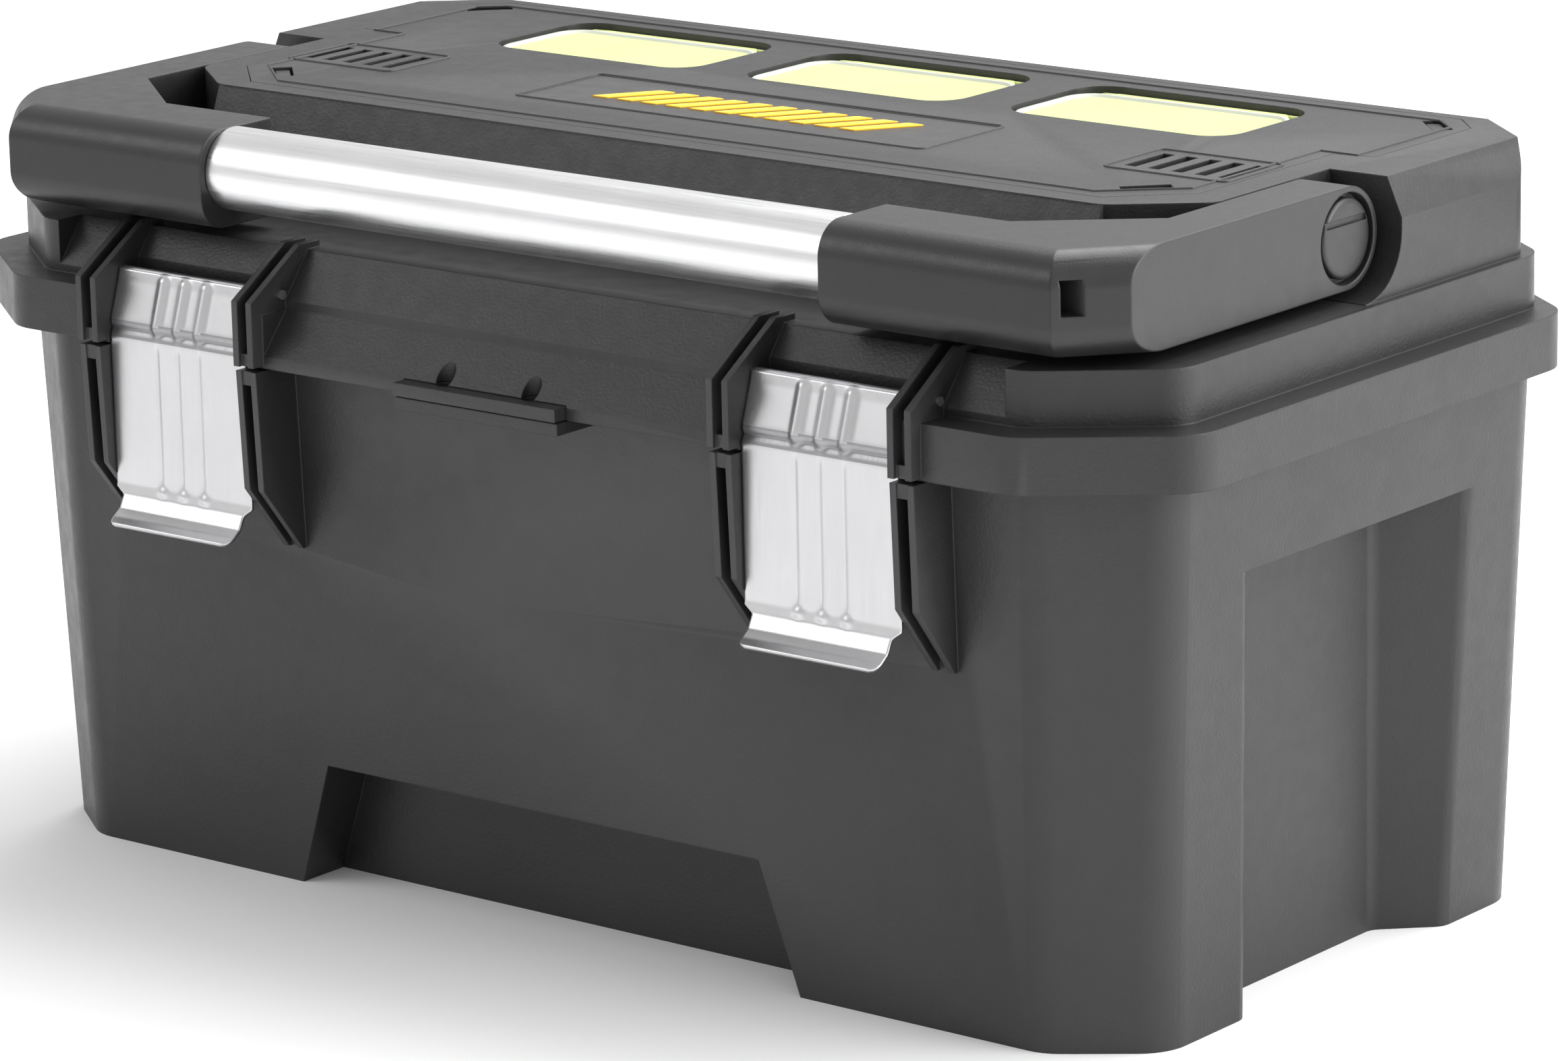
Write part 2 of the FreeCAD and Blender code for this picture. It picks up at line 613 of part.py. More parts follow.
def make_handle():
    for name, side in (("left", -1), ("right", 1)):
        arm = new_body(f"handle_arm_{name}")
        right = [(size("grip_end"), size("grip_front")), (size("arm_corner_x"), size("grip_front")),
                 (size("arm_outer"), size("arm_corner_y")), (size("arm_outer"), size("pivot_y")),
                 (size("arm_inner"), size("pivot_y")), (size("arm_inner"), size("arm_inner_y")),
                 (size("arm_inner_x"), size("grip_back")), (size("grip_end"), size("grip_back"))]
        depth = size("lid_top") - size("arm_bottom")
        block = prism(arm, "top", [(x * side, y) for x, y in right], size("arm_bottom"), depth)
        round_corners(arm, block, size("arm_round"), front_edge)
        x0 = size("arm_inner") if side > 0 else -size("arm_outer")
        thickness = size("arm_outer") - size("arm_inner")
        axis = (size("pivot_y"), size("pivot_z"))
        drum(arm, axis, size("arm_radius"), x0, thickness)
        drum(arm, axis, size("pivot_radius") + 0.06, x0 - 1, thickness + 2, cut=True)
        counterbore = size("arm_outer") - 4 if side > 0 else -size("arm_outer") - 1
        drum(arm, axis, size("cap_radius") + 0.15, counterbore, 5, cut=True)
        spigot = size("grip_end") - 21 if side > 0 else -size("grip_end") - 1
        spigot_radius = size("tube_radius") - size("tube_wall") - 0.05
        drum(arm, (size("tube_y"), size("tube_z")), spigot_radius, spigot, 22)
        screw = (side * size("screw_x"), size("tube_y"))
        drum(arm, screw, size("screw_head") + 0.2, size("arm_bottom") - 2.6, 5.6, cut=True, side="top")
        drum(arm, screw, size("screw_shank") + 0.05, size("arm_bottom") + 1.4, 8.2, cut=True, side="top")
        slot = box_outline(size("slot_front"), size("slot_back"), size("slot_bottom"), size("slot_top"))
        slot_x = size("arm_outer") - size("slot_depth") if side > 0 else -size("arm_outer") - 1
        prism(arm, "side", slot, slot_x, size("slot_depth") + 1, cut=True)
        make_pivot_pin(name, side)
    make_tube()
    make_handle_screws()


def front_edge(edge):
    """Top and bottom edges of the grip's front and of its corner facet."""
    box = edge.BoundBox
    flat = box.ZLength < 0.01
    return flat and box.YMax < -96.0


def make_pivot_pin(name, side):
    pin = new_body(f"pivot_pin_{name}")
    axis = (size("pivot_y"), size("pivot_z"))
    head = size("arm_outer") - 3.8 if side > 0 else -size("arm_outer") + 0.2
    drum(pin, axis, size("cap_radius"), head, 3.6)
    shaft = size("pin_end") if side > 0 else -size("arm_outer") + 3.6
    drum(pin, axis, size("pivot_radius"), shaft, size("arm_outer") - 3.6 - size("pin_end"))
    face = size("arm_outer") - 1.4 if side > 0 else -size("arm_outer") - 0.6
    groove = box_outline(size("pivot_y") - 16, size("pivot_y") + 16,
                         size("pivot_z") + 5.2, size("pivot_z") + 8.0)
    prism(pin, "side", groove, face, 2.0, cut=True)


def make_tube():
    outer = rod("tube_outside", size("tube_radius"), 0.1 - size("grip_end"), size("grip_end") * 2 - 0.2,
                size("tube_y"), size("tube_z"))
    inner = rod("tube_inside", size("tube_radius") - size("tube_wall"), -size("grip_end"),
                size("grip_end") * 2, size("tube_y"), size("tube_z"))
    tube = doc.addObject("Part::Cut", "handle_tube")
    tube.Label = "handle_tube"
    tube.Base = outer
    tube.Tool = inner
    pieces.append(tube)


def make_handle_screws():
    screws = new_body("handle_screws")
    for side in (-1, 1):
        place = (side * size("screw_x"), size("tube_y"))
        drum(screws, place, size("screw_head"), size("arm_bottom") + 0.4, 2.6, side="top")
        drum(screws, place, size("screw_shank"), size("arm_bottom") + 2.9, 6.4, side="top")


def make_latches():
    for name, side in (("left", -1), ("right", 1)):
        centre = size("latch_centre") * side
        plate = new_body(f"latch_plate_{name}")
        profile = [(-127.1, 206), (-132.7, 188), (-132.7, 133.3), (-136.2, 126.6), (-142.3, 123.4),
                   (-141.7, 122.0), (-135.1, 125.4), (-131.2, 132.9), (-131.2, 187.8), (-125.7, 205.2)]
        prism(plate, "side", profile, centre, size("latch_half") * 2, both=True)
        axis = (size("latch_pin_y"), size("latch_pin_z"))
        drum(plate, axis, size("latch_barrel"), centre - size("latch_half"), size("latch_half") * 2)
        drum(plate, axis, size("latch_pin") + 0.06, centre - 40, 80, cut=True)
        for edge in (centre - 32, centre + 27):
            prism(plate, "top", box_outline(edge, edge + 5, -145, -120), 118, 14.5, cut=True)
        pin = rod(f"latch_pin_{name}", size("latch_pin"), centre - 40.5, 81, *axis)
        pieces.append(pin)
        keeper = new_body(f"keeper_{name}")
        half = size("keeper_half")
        block = box_outline(centre - half, centre + half, size("keeper_front"), size("keeper_back"))
        prism(keeper, "top", block, size("keeper_bottom"), size("keeper_height"))
        bevel = [(-131, 149), (-131, 152.1), (-127, 152.1)]
        prism(keeper, "side", bevel, centre, 50, cut=True, both=True)


def make_padlock_eyes():
    """Two plates, one under the lid's lip and one on the base, whose holes line up."""
    half = size("eye_half")
    for name in ("lid", "base"):
        plate = new_body(f"padlock_eye_{name}")
        bottom = size(f"eye_{name}_bottom")
        outline = box_outline(-half, half, size(f"eye_{name}_front"), size(f"eye_{name}_back"))
        prism(plate, "top", outline, bottom, size("eye_thickness"))
        for side in (-1, 1):
            hole = (side * size("eye_hole_x"), size("eye_hole_y"))
            drum(plate, hole, size("eye_hole"), bottom - 1, 7, cut=True, side="top")


def make_hinge_pins():
    for name, side in (("left", -1), ("right", 1)):
        pieces.append(rod(f"hinge_pin_{name}", size("hinge_pin"), size("hinge_x") * side - 25, 50,
                          size("hinge_y"), size("seam")))


def make_tray():
    body = new_body("tray")
    wall = size("tray_wall")
    tub = cornered(size("tray_half"), size("tray_front"), size("tray_back"), size("tray_corner"),
                   size("tray_corner"))
    prism(body, "top", tub, size("tray_bottom"), size("tray_top") - size("tray_bottom"))
    reach = size("flange_reach")
    flange = cornered(size("flange_half"), size("tray_front") - reach, size("tray_back") + reach, 38, 28)
    prism(body, "top", flange, size("flange_under"), size("tray_top") - size("flange_under"))
    third = (size("tray_half") * 2 - wall * 4) * (1 / 3)
    rows = ((size("tray_front") + wall, size("divider_front")),
            (size("divider_back"), size("tray_back") - wall))
    for column in range(3):
        x0 = wall - size("tray_half") + (third + wall) * column
        for y0, y1 in rows:
            outline = tray_cell(x0, x0 + third, y0, y1, column)
            prism(body, "top", outline, size("tray_bottom") + wall, 70, cut=True)
    grip = new_body("tray_handle")
    half = size("tray_grip_half")
    foot = size("tray_top")
    top = size("tray_grip_top")
    arch = [(-half, foot), (8 - half, foot), (13 - half, foot + 10), (half - 13, foot + 10),
            (half - 8, foot), (half, foot), (half - 7, top), (7 - half, top)]
    prism(grip, "front", arch, -size("tray_grip_depth"), size("tray_grip_depth"))


def tray_cell(x0, x1, y0, y1, column):
    """A compartment whose corner next to the tray's own corner is cut off."""
    cut = size("cell_corner")
    front = y0.value < 0
    outline = [(x0, y0), (x1, y0), (x1, y1), (x0, y1)]
    if column == 0:
        corner = [(x0, y0 + cut), (x0 + cut, y0)] if front else [(x0 + cut, y1), (x0, y1 - cut)]
        return corner + outline[1:] if front else outline[:3] + corner
    if column == 2:
        corner = [(x1 - cut, y0), (x1, y0 + cut)] if front else [(x1, y1 - cut), (x1 - cut, y1)]
        return outline[:1] + corner + outline[2:] if front else outline[:2] + corner + outline[3:]
    return outline


def check(thing):
    bad = [s for s in thing.State if s in ("Invalid", "Error")]
    if bad:
        raise RuntimeError(f"{thing.Label} failed: {bad}")


make_base()
make_lid()
make_panel()
make_bins_and_covers()
make_seal()
make_handle()
make_latches()
make_padlock_eyes()
make_hinge_pins()
make_tray()
doc.recompute()
for thing in doc.Objects:
    check(thing)
os.makedirs("parts", exist_ok=True)
for piece in pieces:
    if piece.Shape.isNull() or not piece.Shape.isValid():
        raise RuntimeError(f"{piece.Label} has no valid shape")
for piece in pieces:
    piece.Shape.exportStep(f"parts/{piece.Label}.step")
    print(piece.Label, len(piece.Shape.Solids), round(piece.Shape.Volume / 1000, 1))
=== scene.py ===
import json
import math

import bmesh
import bpy
from mathutils import Matrix, Vector


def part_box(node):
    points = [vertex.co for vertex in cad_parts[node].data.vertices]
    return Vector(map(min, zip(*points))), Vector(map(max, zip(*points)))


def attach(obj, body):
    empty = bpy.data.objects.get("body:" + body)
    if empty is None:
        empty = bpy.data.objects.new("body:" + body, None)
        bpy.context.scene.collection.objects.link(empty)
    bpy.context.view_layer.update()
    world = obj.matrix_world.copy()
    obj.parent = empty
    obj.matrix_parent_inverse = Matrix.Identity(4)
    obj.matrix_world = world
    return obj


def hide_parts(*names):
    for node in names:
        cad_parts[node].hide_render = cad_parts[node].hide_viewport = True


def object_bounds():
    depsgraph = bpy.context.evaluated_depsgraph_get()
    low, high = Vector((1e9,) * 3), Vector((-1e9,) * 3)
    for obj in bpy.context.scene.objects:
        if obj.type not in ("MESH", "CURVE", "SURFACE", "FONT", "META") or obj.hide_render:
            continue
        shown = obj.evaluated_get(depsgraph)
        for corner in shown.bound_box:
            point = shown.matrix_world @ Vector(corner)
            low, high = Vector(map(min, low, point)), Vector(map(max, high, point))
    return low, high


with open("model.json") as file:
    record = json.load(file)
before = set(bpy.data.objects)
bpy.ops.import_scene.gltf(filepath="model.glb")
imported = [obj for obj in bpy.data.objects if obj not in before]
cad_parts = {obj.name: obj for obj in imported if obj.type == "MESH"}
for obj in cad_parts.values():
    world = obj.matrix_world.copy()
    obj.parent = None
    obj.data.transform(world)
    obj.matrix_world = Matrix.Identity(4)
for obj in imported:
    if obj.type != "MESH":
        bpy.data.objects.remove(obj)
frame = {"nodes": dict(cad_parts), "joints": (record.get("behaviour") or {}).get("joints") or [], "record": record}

# A moulded toolbox with a folding handle, two pressed latches, three organiser covers and a lift-out tray.
# Metres throughout, in the CAD frame: X along the length, the latches face -Y, Z up.

cad_low, cad_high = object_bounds()
MM = 0.001
RECORD = frame["record"]
BODY_OF = {node: body for body, nodes in RECORD["behaviour"]["bodies"].items() for node in nodes}
SLOT_OF = {part["node"]: part["material_slot"] for part in RECORD["subparts"]}
JOINTS = {joint["name"]: joint for joint in frame["joints"]}
SIDES = {"left": -1, "right": 1}
COLUMNS = {"left": -1, "centre": 0, "right": 1}

# The pressing of a latch plate. Its bend and its foot are heights above its lowest point.
LATCH_BEND = 66 * MM
LATCH_FOOT = 12 * MM
LATCH_SHEET = 1.2 * MM
LATCH_COLUMNS = 96
RIB_PITCH = 9.5 * MM
RIB_WIDTH = 1.8 * MM
SCORE_WIDTH = 0.6 * MM
# How far above and below the bend the painted shade of the fold reaches.
FOLD_SHADE_REACH = 2.8 * MM

# The vents' frames on the top panel, outwards from its middle and from front to back.
VENT_INNER, VENT_OUTER = 150.5 * MM, 198.5 * MM
VENT_FRONT, VENT_BACK = -6.5 * MM, 26.5 * MM
FRAME_LINE_HEIGHT = 0.45 * MM

# How far the sharp edges of each CAD node are rounded over, in millimetres.
ROUNDING = {
    "base_shell": 0.9, "lid_shell": 0.9, "top_panel": 0.3, "tray": 0.5, "tray_handle": 1.5,
    "handle_arm_left": 1.0, "handle_arm_right": 1.0, "keeper_left": 0.4, "keeper_right": 0.4,
    "padlock_eye_lid": 0.6, "padlock_eye_base": 0.6, "bin_left": 0.3, "bin_centre": 0.3, "bin_right": 0.3,
    "cover_left": 0.12, "cover_centre": 0.12, "cover_right": 0.12, "handle_tube": 0.25, "rim_seal": 0.4,
    "panel_clips": 0.4, "handle_screws": 0.2, "label_plate": 0.2,
}

CAMERA_PLACE = Vector((1.3663, -1.6822, 0.6738))
CAMERA_AZIMUTH = math.radians(38.8)
CAMERA_ELEVATION = math.radians(14.5)
CAMERA_ROLL = math.radians(-1.19)
CAMERA_LENS = 153.2
WORLD_STRENGTH = 0.72
FLOOR_HALF = 12.0


# ---------------------------------------------------------------- camera, light and floor

def add_camera():
    cos_e, sin_e = math.cos(CAMERA_ELEVATION), math.sin(CAMERA_ELEVATION)
    back = Vector((math.sin(CAMERA_AZIMUTH) * cos_e, -math.cos(CAMERA_AZIMUTH) * cos_e, sin_e))
    level = Vector((math.cos(CAMERA_AZIMUTH), math.sin(CAMERA_AZIMUTH), 0))
    right = math.cos(CAMERA_ROLL) * level + math.sin(CAMERA_ROLL) * back.cross(level)
    turned = Matrix((right, back.cross(right), back)).transposed()
    data = bpy.data.cameras.new("camera")
    data.lens = CAMERA_LENS
    camera = bpy.data.objects.new("camera", data)
    camera.matrix_world = Matrix.Translation(CAMERA_PLACE) @ turned.to_4x4()
    bpy.context.collection.objects.link(camera)
    bpy.context.scene.camera = camera


def add_softbox(name, place, width, height, power):
    """A rectangular light that faces the middle of the box."""
    data = bpy.data.lights.new(name, "AREA")
    data.shape = "RECTANGLE"
    data.size = width
    data.size_y = height
    data.energy = power
    light = bpy.data.objects.new(name, data)
    target = (cad_low + cad_high) / 2
    light.location = place
    light.rotation_euler = (target - Vector(place)).to_track_quat("-Z", "Y").to_euler()
    bpy.context.collection.objects.link(light)


def add_studio():
    world = bpy.data.worlds.new("studio")
    bpy.context.scene.world = world
    world.use_nodes = True
    background = world.node_tree.nodes["Background"]
    background.inputs["Color"].default_value = (1.0, 1.0, 1.0, 1.0)
    background.inputs["Strength"].default_value = WORLD_STRENGTH
    add_softbox("overhead", (0.2, 1.1, 1.9), width=2.6, height=1.6, power=54)
    add_softbox("left_front", (-1.6, -1.6, 1.5), width=1.3, height=1.0, power=10)
    add_softbox("right", (2.1, 0.7, 1.0), width=1.8, height=1.4, power=55)
    bpy.context.scene.view_settings.view_transform = "Standard"


def add_floor():
    mesh = bpy.data.meshes.new("floor")
    half = FLOOR_HALF
    corners = [(-half, -half, 0), (half, -half, 0), (half, half, 0), (-half, half, 0)]
    mesh.from_pydata(corners, [], [(0, 1, 2, 3)])
    floor = bpy.data.objects.new("floor", mesh)
    bpy.context.collection.objects.link(floor)
    mesh.materials.append(pale_floor())


# ---------------------------------------------------------------- materials

class Nodes:
    """A material's node tree, with one short call per kind of node."""

    def __init__(self, name):
        self.material = bpy.data.materials.new(name)
        self.material.use_nodes = True
        self.tree = self.material.node_tree
        self.shader = self.tree.nodes["Principled BSDF"]
        self.place = self.add("ShaderNodeTexCoord").outputs["Object"]

    def add(self, kind, **values):
        node = self.tree.nodes.new(kind)
        for key, value in values.items():
            setattr(node, key, value)
        return node

    def link(self, source, target):
        self.tree.links.new(source, target)

    def stretched(self, scale):
        """The object's coordinates, stretched by a factor along each axis."""
        mapping = self.add("ShaderNodeMapping")
        mapping.inputs["Scale"].default_value = scale
        self.link(self.place, mapping.inputs["Vector"])
        return mapping.outputs["Vector"]

    def noise(self, scale, detail=3.0, rough=0.5, stretch=(1, 1, 1)):
        node = self.add("ShaderNodeTexNoise")
        node.inputs["Scale"].default_value = scale
        node.inputs["Detail"].default_value = detail
        node.inputs["Roughness"].default_value = rough
        self.link(self.stretched(stretch), node.inputs["Vector"])
        return node.outputs["Fac"]

    def spread(self, value, low, high, start=0.35, end=0.65):
        """A value mapped from start..end onto low..high."""
        node = self.add("ShaderNodeMapRange")
        node.inputs["From Min"].default_value = start
        node.inputs["From Max"].default_value = end
        node.inputs["To Min"].default_value = low
        node.inputs["To Max"].default_value = high
        self.link(value, node.inputs["Value"])
        return node.outputs["Result"]

    def colours(self, value, dark, light, start=0.3, end=0.7):
        ramp = self.add("ShaderNodeValToRGB")
        ramp.color_ramp.elements[0].position = start
        ramp.color_ramp.elements[0].color = (*dark, 1)
        ramp.color_ramp.elements[1].position = end
        ramp.color_ramp.elements[1].color = (*light, 1)
        self.link(value, ramp.inputs["Fac"])
        return ramp.outputs["Color"]

    def bump(self, height, distance, strength=1.0, below=None):
        node = self.add("ShaderNodeBump")
        node.inputs["Distance"].default_value = distance
        node.inputs["Strength"].default_value = strength
        self.link(height, node.inputs["Height"])
        if below is not None:
            self.link(below, node.inputs["Normal"])
        return node.outputs["Normal"]

    def soft_edge(self, radius):
        node = self.add("ShaderNodeBevel", samples=4)
        node.inputs["Radius"].default_value = radius
        return node.outputs["Normal"]

    def set(self, **values):
        for key, value in values.items():
            self.shader.inputs[key.replace("_", " ")].default_value = value

    def drive(self, socket, source):
        self.link(source, self.shader.inputs[socket])


def moulded_plastic(name, dark, light, smooth, rough, grain, depth):
    """Black moulded plastic: a fine pebble grain, faint handling marks and paler edges, partly wear and partly a
    painted highlight.
    """
    nodes = Nodes(name)
    patches = nodes.noise(9.0, 4.0, 0.6)
    body = nodes.colours(patches, dark, light, 0.35, 0.7)
    # Paler convex edges from pointiness: partly edge wear, partly a painted highlight along the rounded edges.
    worn_and_lit_edges = nodes.add("ShaderNodeMix", data_type="RGBA")
    edge_wear_and_highlight = nodes.spread(nodes.add("ShaderNodeNewGeometry").outputs["Pointiness"], 0.0, 0.45, 0.53, 0.62)
    nodes.link(edge_wear_and_highlight, worn_and_lit_edges.inputs["Factor"])
    nodes.link(body, worn_and_lit_edges.inputs["A"])
    worn_and_lit_edges.inputs["B"].default_value = (*[c * 2.2 + 0.012 for c in light], 1)
    nodes.drive("Base Color", worn_and_lit_edges.outputs["Result"])
    nodes.drive("Roughness", nodes.spread(nodes.noise(140.0, 5.0, 0.65), smooth, rough))
    pebbles = nodes.noise(grain, 2.0, 0.5)
    nodes.drive("Normal", nodes.bump(pebbles, depth, 1.0, nodes.soft_edge(0.7 * MM)))
    nodes.set(IOR=1.5)
    return nodes.material


def brushed_metal(name, colour, smooth, rough, stretch):
    """Metal with fine lines along its brushing, faint smudges and painted shade darkening its creases and hollows.
    """
    nodes = Nodes(name)
    lines = nodes.noise(1500.0, 2.0, 0.6, stretch)
    smudges = nodes.noise(30.0, 4.0, 0.6)
    clean = nodes.colours(smudges, [c * 0.94 for c in colour], colour)
    # Painted shade: concave places (low pointiness) are darkened towards about a third of the colour.
    crease_shaded_colour = nodes.add("ShaderNodeMix", data_type="RGBA")
    painted_crease_shade = nodes.spread(nodes.add("ShaderNodeNewGeometry").outputs["Pointiness"], 0.75, 0.0, 0.42, 0.495)
    nodes.link(painted_crease_shade, crease_shaded_colour.inputs["Factor"])
    nodes.link(clean, crease_shaded_colour.inputs["A"])
    crease_shaded_colour.inputs["B"].default_value = (*[c * 0.35 for c in colour], 1)
    nodes.drive("Base Color", crease_shaded_colour.outputs["Result"])
    nodes.drive("Roughness", nodes.spread(lines, smooth, rough, 0.3, 0.7))
    nodes.drive("Normal", nodes.bump(lines, 0.008 * MM, 0.5))
    nodes.set(Metallic=1.0)
    return nodes.material


def tinted_plastic(name, colour, pale, transmission=0.0, specular=0.5):
    """Pale translucent plastic with a slight cloudiness and fine scuffs."""
    nodes = Nodes(name)
    clouds = nodes.noise(22.0, 3.0, 0.5)
    nodes.drive("Base Color", nodes.colours(clouds, colour, pale))
    scuffs = nodes.noise(400.0, 3.0, 0.7, (1, 0.4, 1))
    nodes.drive("Roughness", nodes.spread(scuffs, 0.30, 0.44))
    nodes.drive("Normal", nodes.bump(scuffs, 0.006 * MM, 0.4))
    nodes.set(Transmission_Weight=transmission, IOR=1.49, Specular_IOR_Level=specular)
    return nodes.material


def pale_floor():
    nodes = Nodes("pale_floor")
    nodes.drive("Base Color", nodes.colours(nodes.noise(3.0), (0.93, 0.93, 0.93), (0.95, 0.95, 0.95)))
    nodes.set(Roughness=0.9, Specular_IOR_Level=0.1)
    return nodes.material


def make_materials():
    """One material per slot of the record, and a few for details that share a slot."""
    black = (0.015, 0.015, 0.016)
    body = moulded_plastic("body_plastic", black, (0.021, 0.021, 0.022), 0.38, 0.46, 950.0, 0.11 * MM)
    handle = moulded_plastic("handle_plastic", black, (0.019, 0.019, 0.020), 0.33, 0.40, 1300.0, 0.05 * MM)
    return {
        "black_foam": body,
        "black_smooth": handle,
        "tray_grey": moulded_plastic("tray_plastic", (0.04, 0.041, 0.044), (0.055, 0.056, 0.06),
                                     0.42, 0.55, 1800.0, 0.03 * MM),
        "grip_amber": moulded_plastic("grip_plastic", (0.62, 0.33, 0.03), (0.78, 0.42, 0.04),
                                      0.35, 0.5, 1800.0, 0.03 * MM),
        "latch_steel": brushed_metal("latch_steel", (0.63, 0.63, 0.64), 0.30, 0.40, (1, 1, 0.03)),
        # A darker copy of the latch steel: painted shade for the band along the fold.
        "latch_fold_shade": brushed_metal("latch_fold_shade", (0.36, 0.36, 0.37), 0.34, 0.44, (1, 1, 0.03)),
        "pin_steel": brushed_metal("pin_steel", (0.55, 0.55, 0.57), 0.3, 0.42, (0.03, 1, 1)),
        "tube_alloy": brushed_metal("tube_alloy", (0.86, 0.86, 0.87), 0.26, 0.38, (0.02, 1, 1)),
        "clear_cover": tinted_plastic("cover_plastic", (0.62, 0.71, 0.28), (0.67, 0.76, 0.32),
                                      specular=0.2),
        "cover_rim": tinted_plastic("cover_rim_plastic", (0.58, 0.60, 0.55), (0.66, 0.68, 0.62),
                                    specular=0.3),
        "amber": moulded_plastic("amber_print", (0.80, 0.36, 0.01), (0.90, 0.52, 0.02),
                                 0.35, 0.5, 2600.0, 0.01 * MM),
        "pale_bin": tinted_plastic("bin_plastic", (0.62, 0.72, 0.30), (0.70, 0.78, 0.36), 0.1),
        "seal_rubber": moulded_plastic("seal_rubber", (0.01, 0.01, 0.01), (0.015, 0.015, 0.015),
                                       0.6, 0.75, 900.0, 0.03 * MM),
        "label_grey": moulded_plastic("label_plastic", (0.02, 0.02, 0.021), (0.026, 0.026, 0.027),
                                      0.30, 0.4, 2600.0, 0.015 * MM),
    }


# ---------------------------------------------------------------- building blocks

def new_piece(name, mesh, node, material=None):
    """A piece that stands for a CAD node and rides on its body."""
    piece = bpy.data.objects.new(name, mesh)
    bpy.context.collection.objects.link(piece)
    mesh.materials.clear()
    mesh.materials.append(material or MATERIALS[SLOT_OF[node]])
    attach(piece, BODY_OF[node])
    return piece


def shade(mesh, angle=35.0):
    mesh.shade_smooth()
    mesh.set_sharp_from_angle(angle=math.radians(angle))


def rounded_copy(node, width, segments=2):
    """The CAD node's shape with all its sharp edges rounded over."""
    mesh = frame["nodes"][node].data.copy()
    shape = bmesh.new()
    shape.from_mesh(mesh)
    bmesh.ops.remove_doubles(shape, verts=shape.verts, dist=2e-6)
    bmesh.ops.dissolve_limit(shape, angle_limit=math.radians(0.5), verts=shape.verts, edges=shape.edges)
    shape.to_mesh(mesh)
    shape.free()
    piece = new_piece(f"{node}_rounded", mesh, node)
    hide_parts(node)
    edges = piece.modifiers.new("round_edges", "BEVEL")
    edges.width = width
    edges.segments = segments
    edges.limit_method = "ANGLE"
    edges.angle_limit = math.radians(32)
    shade(mesh)
    even = piece.modifiers.new("even_shading", "WEIGHTED_NORMAL")
    even.keep_sharp = True
    even.weight = 90
    return piece


# ---------------------------------------------------------------- pressed latch plates

def latch_profile(node):
    """The plate's middle line from the pivot down to the curled lip, as (y, z) points."""
    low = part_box(node)[0]
    pin_y, pin_z = JOINTS[f"{node.replace('plate_', '')}_swing"]["pos_m"][1:]
    face = low.y + 10.3 * MM
    bend = low.z + LATCH_BEND
    lip = [(face - 0.6 * MM, low.z + 9.5 * MM), (face - 3.0 * MM, low.z + 4.8 * MM),
           (face - 6.3 * MM, low.z + 2.4 * MM), (low.y + 0.7 * MM, low.z + 0.8 * MM)]
    return [(pin_y - 2.4 * MM, pin_z + 1.2 * MM), (face + 4.6 * MM, bend + 15.5 * MM),
            (face, bend + 1.5 * MM), (face, bend - 1.5 * MM), (face, low.z + 13 * MM)] + lip


def along_profile(points, step):
    """Evenly spaced points along a chain of runs, with each one's distance from the start."""
    made = [(Vector((0, *points[0])), 0.0)]
    travelled = 0.0
    for start, end in zip(points, points[1:]):
        first, last = Vector((0, *start)), Vector((0, *end))
        count = max(1, round((last - first).length / step))
        for i in range(1, count + 1):
            made.append((first.lerp(last, i / count), travelled + (last - first).length * i / count))
        travelled += (last - first).length
    return made


def ramp(value, start, end):
    """0 before start and 1 after end, and straight between them."""
    return min(1.0, max(0.0, (value - start) / (end - start)))


def lanes(across, width):
    """1 along the middle of each of the three upright lines and 0 between them."""
    return sum(math.exp(-((across - centre) / width) ** 2) for centre in (-RIB_PITCH, 0.0, RIB_PITCH))


def pressed_relief(across, down, bend_at, foot_at):
    """How far the plate stands out at a point: ribs, their scored lines and dimpled feet, and the fold."""
    ribs = lanes(across, RIB_WIDTH)
    upper = 1.5 * MM * ramp(down, 0.5 * MM, 2 * MM) * ramp(down, bend_at + 1.0 * MM, bend_at - 2 * MM)
    dimple = 0.8 * MM * math.exp(-((down - foot_at + 0.5 * MM) / (1.5 * MM)) ** 2)
    score = -0.5 * MM * ramp(down, bend_at + 3 * MM, bend_at + 6 * MM)
    score *= ramp(down, foot_at - 2 * MM, foot_at - 5 * MM)
    fold = -1.1 * MM * math.exp(-((down - bend_at) / (1.5 * MM)) ** 2)
    return ribs * (upper + dimple) + lanes(across, SCORE_WIDTH) * score + fold * (1 - 0.7 * ribs)


